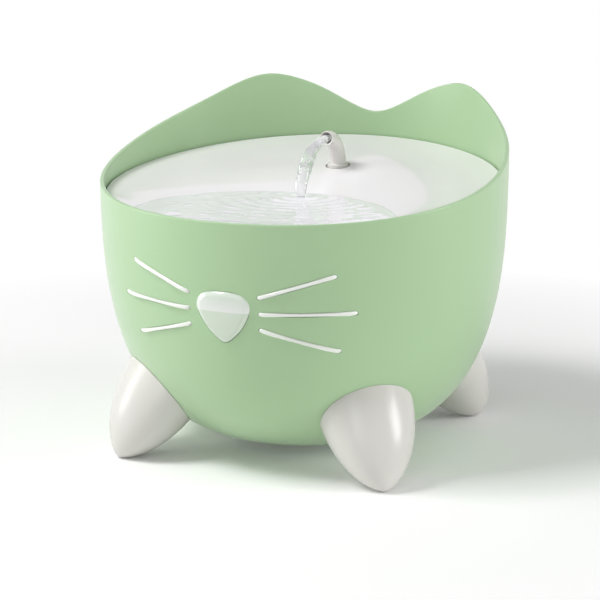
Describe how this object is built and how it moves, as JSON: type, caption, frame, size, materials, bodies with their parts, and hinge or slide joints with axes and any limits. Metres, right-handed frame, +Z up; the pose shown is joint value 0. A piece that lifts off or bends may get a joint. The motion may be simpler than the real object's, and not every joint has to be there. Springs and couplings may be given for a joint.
{
  "type": "pet water fountain",
  "caption": "Round pet drinking fountain shaped like a cat's head on short feet, with ears, clear nose and whisker windows, a dish on top and a bent spout.",
  "frame": {"origin": "on the ground, under the bowl's upright axis", "axes": "+Z up, the cat's face looks along -Y, +X towards the left ear of the cat, which is on the viewer's right"},
  "size_m": [0.238, 0.2379, 0.2035],
  "materials": {
    "carbon": "activated carbon in non-woven pouch",
    "clear_plastic": "clear moulded plastic",
    "clear_silicone": "milky silicone",
    "copper": "enamelled copper winding",
    "ferrite": "moulded ferrite magnet",
    "filter_foam": "open-cell white foam",
    "foot_plastic": "glossy white ABS",
    "frost_plastic": "plain off-white polypropylene",
    "green_plastic": "satin pastel green polypropylene",
    "grey_rubber": "dark grey rubber",
    "pump_plastic": "black ABS",
    "sheet_steel": "laminated steel sheets",
    "white_ceramic": "ground ceramic rod",
    "white_plastic": "glossy white ABS",
    "white_rubber": "soft white rubber"
  },
  "bodies": {
    "base": {"cable_gland": "grey_rubber", "cable_grommet": "grey_rubber", "filter_carbon": "carbon", "filter_foam": "filter_foam", "filter_housing": "frost_plastic", "filter_lid": "frost_plastic", "filter_tray": "frost_plastic", "foot_back_left": "foot_plastic", "foot_back_right": "foot_plastic", "foot_front_left": "foot_plastic", "foot_front_right": "foot_plastic", "foot_pad_back_left": "white_rubber", "foot_pad_back_right": "white_rubber", "foot_pad_front_left": "white_rubber", "foot_pad_front_right": "white_rubber", "impeller_housing": "pump_plastic", "impeller_shaft": "white_ceramic", "nose_window": "clear_plastic", "nose_window_seal": "grey_rubber", "outer_bowl": "green_plastic", "pump_body": "pump_plastic", "pump_cover": "pump_plastic", "pump_feet": "grey_rubber", "riser_tube": "clear_silicone", "shaft_bushes": "grey_rubber", "stator_coil": "copper", "stator_core": "sheet_steel", "whisker_bottom_left": "clear_plastic", "whisker_bottom_right": "clear_plastic", "whisker_middle_left": "clear_plastic", "whisker_middle_right": "clear_plastic", "whisker_top_left": "clear_plastic", "whisker_top_right": "clear_plastic"},
    "dish": {"drinking_dish": "white_plastic"},
    "collar": {"spout_collar": "white_plastic"},
    "spout": {"spout": "white_plastic", "spout_o_ring": "grey_rubber"},
    "rotor": {"impeller": "frost_plastic", "rotor_magnet": "ferrite"},
    "regulator": {"flow_regulator": "pump_plastic"}
  },
  "joints": [
    {"name": "dish_lift", "type": "slide", "parent": "base", "child": "dish", "axis": [0, 0, 1], "range_m": [0, 0.09]},
    {"name": "collar_turn", "type": "hinge", "parent": "dish", "child": "collar", "pos_m": [0, 0.054, 0.15], "axis": [0, 0, 1], "continuous": true},
    {"name": "spout_pull", "type": "slide", "parent": "collar", "child": "spout", "axis": [0, 0, 1], "range_m": [0, 0.03]},
    {"name": "impeller_spin", "type": "hinge", "parent": "base", "child": "rotor", "pos_m": [0, 0.054, 0.046], "axis": [0, 1, 0], "continuous": true},
    {"name": "regulator_turn", "type": "hinge", "parent": "base", "child": "regulator", "pos_m": [0, 0.0625, 0.046], "axis": [0, 1, 0], "range_deg": [0, 36]}
  ]
}
